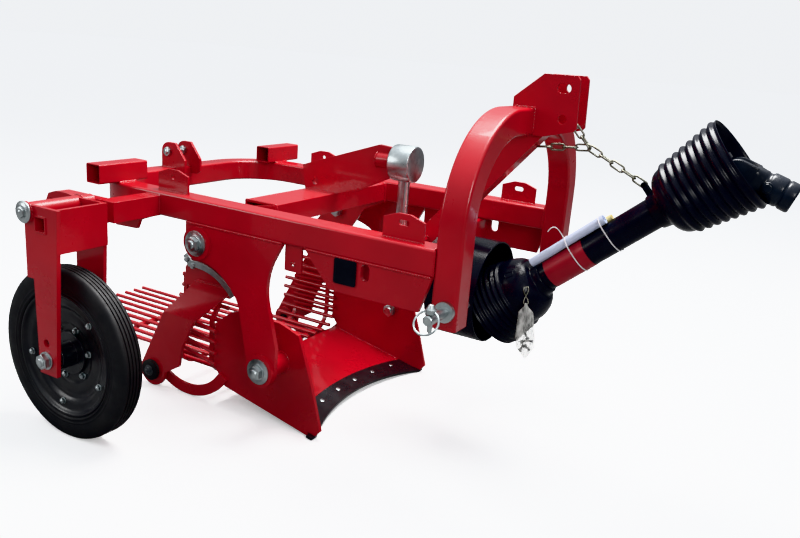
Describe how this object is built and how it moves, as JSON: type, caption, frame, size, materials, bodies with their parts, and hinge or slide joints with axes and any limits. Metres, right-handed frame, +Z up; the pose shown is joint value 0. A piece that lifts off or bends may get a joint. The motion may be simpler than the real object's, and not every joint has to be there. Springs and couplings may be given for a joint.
{
  "type": "potato digger",
  "caption": "Towed, shaft-driven potato digger: tube frame with hitch arch, rocking share and rod sieve, crank rod, guarded drive shaft and a support wheel.",
  "frame": {"origin": "on the floor, on the middle plane, under the front face of the hitch arch", "axes": "+X forward towards the tractor, +Y to the machine's left, +Z up"},
  "size_m": [1.9792, 1.1554, 0.917],
  "materials": {
    "red_paint": "gloss",
    "zinc": "satin",
    "black_plastic": "satin",
    "black_paint": "satin",
    "tyre": "matte",
    "rubber": "matte"
  },
  "bodies": {
    "frame": {"beam_right": "red_paint", "beam_left": "red_paint", "rear_bow": "red_paint", "hitch_arch": "red_paint", "front_cross_tube": "red_paint", "cross_tube_plugs": "black_plastic", "side_panel_right": "red_paint", "side_panel_left": "red_paint", "leg_plate_right": "red_paint", "leg_plate_left": "red_paint", "pivot_bolts_right": "zinc", "pivot_bolts_left": "zinc", "beam_tabs": "red_paint", "socket_stubs": "red_paint", "mast_plates": "red_paint", "mast_brace": "red_paint", "lower_pins": "zinc", "linch_pins": "zinc", "beam_straps": "red_paint", "bearing_housing": "red_paint", "guard_can": "black_plastic", "guard_cone_inner": "black_plastic", "guard_tube": "black_plastic", "guard_cone_outer": "black_plastic", "rear_lugs": "red_paint", "lug_bolts": "zinc", "wheel_arm": "red_paint", "arm_bracket": "red_paint", "wheel_fork": "red_paint", "fork_bush": "red_paint", "fork_washer": "zinc", "wheel_axle": "zinc", "chain_bar": "zinc", "support_chain": "zinc"},
    "crank": {"input_shaft": "black_paint"},
    "con_rod": {"connecting_rod": "zinc"},
    "rocker": {"rocker_arm": "red_paint", "rocker_cross": "red_paint", "rocker_side_right": "red_paint", "rocker_side_left": "red_paint", "folded_arm_right": "red_paint", "folded_arm_left": "red_paint", "foot_bolts": "rubber", "guard_strips": "zinc"},
    "pan": {"share_side_right": "red_paint", "share_side_left": "red_paint", "share_blade": "black_paint", "share_floor": "red_paint", "keel_bars": "red_paint", "sieve": "red_paint"},
    "wheel": {"tyre": "tyre", "wheel_disc": "black_paint", "wheel_hub": "black_paint"},
    "shaft": {"drive_shaft": "black_paint"},
    "cross": {"joint_cross": "black_paint"},
    "yoke": {"outer_yoke": "black_paint"}
  },
  "joints": [
    {"name": "wheel_spin", "type": "hinge", "parent": "frame", "child": "wheel", "pos_m": [-0.85, -0.6, 0.207], "axis": [0, 1, 0], "continuous": true},
    {"name": "pan_swing", "type": "hinge", "parent": "frame", "child": "pan", "pos_m": [-0.496, 0, 0.176], "axis": [0, 1, 0], "range_deg": [-0.444, 0.444]},
    {"name": "rocker_swing", "type": "hinge", "parent": "frame", "child": "rocker", "pos_m": [-0.7, 0, 0.454], "axis": [0, 1, 0], "range_deg": [-0.6, 0.6]},
    {"name": "rod_swing", "type": "hinge", "parent": "rocker", "child": "con_rod", "pos_m": [-0.337, 0, 0.668], "axis": [1, 0, 0], "range_deg": [-0.8, 0.8]},
    {"name": "shaft_spin", "type": "hinge", "parent": "frame", "child": "shaft", "pos_m": [-0.015, 0, 0.39], "axis": [0.7604, 0, 0.6494], "continuous": true},
    {"name": "crank_spin", "type": "hinge", "parent": "frame", "child": "crank", "pos_m": [-0.1, 0, 0.39], "axis": [1, 0, 0], "continuous": true},
    {"name": "cross_swing", "type": "hinge", "parent": "shaft", "child": "cross", "pos_m": [0.42071, 0, 0.76213], "axis": [-0.6494, 0, 0.7604], "range_deg": [-12, 12]},
    {"name": "yoke_swing", "type": "hinge", "parent": "cross", "child": "yoke", "pos_m": [0.42071, 0, 0.76213], "axis": [0, 1, 0], "range_deg": [-100, 0]}
  ],
  "couplings": [
    {"joint": "rocker_swing", "follows": "pan_swing", "ratio": 1.351},
    {"joint": "crank_spin", "follows": "shaft_spin", "ratio": 1}
  ]
}
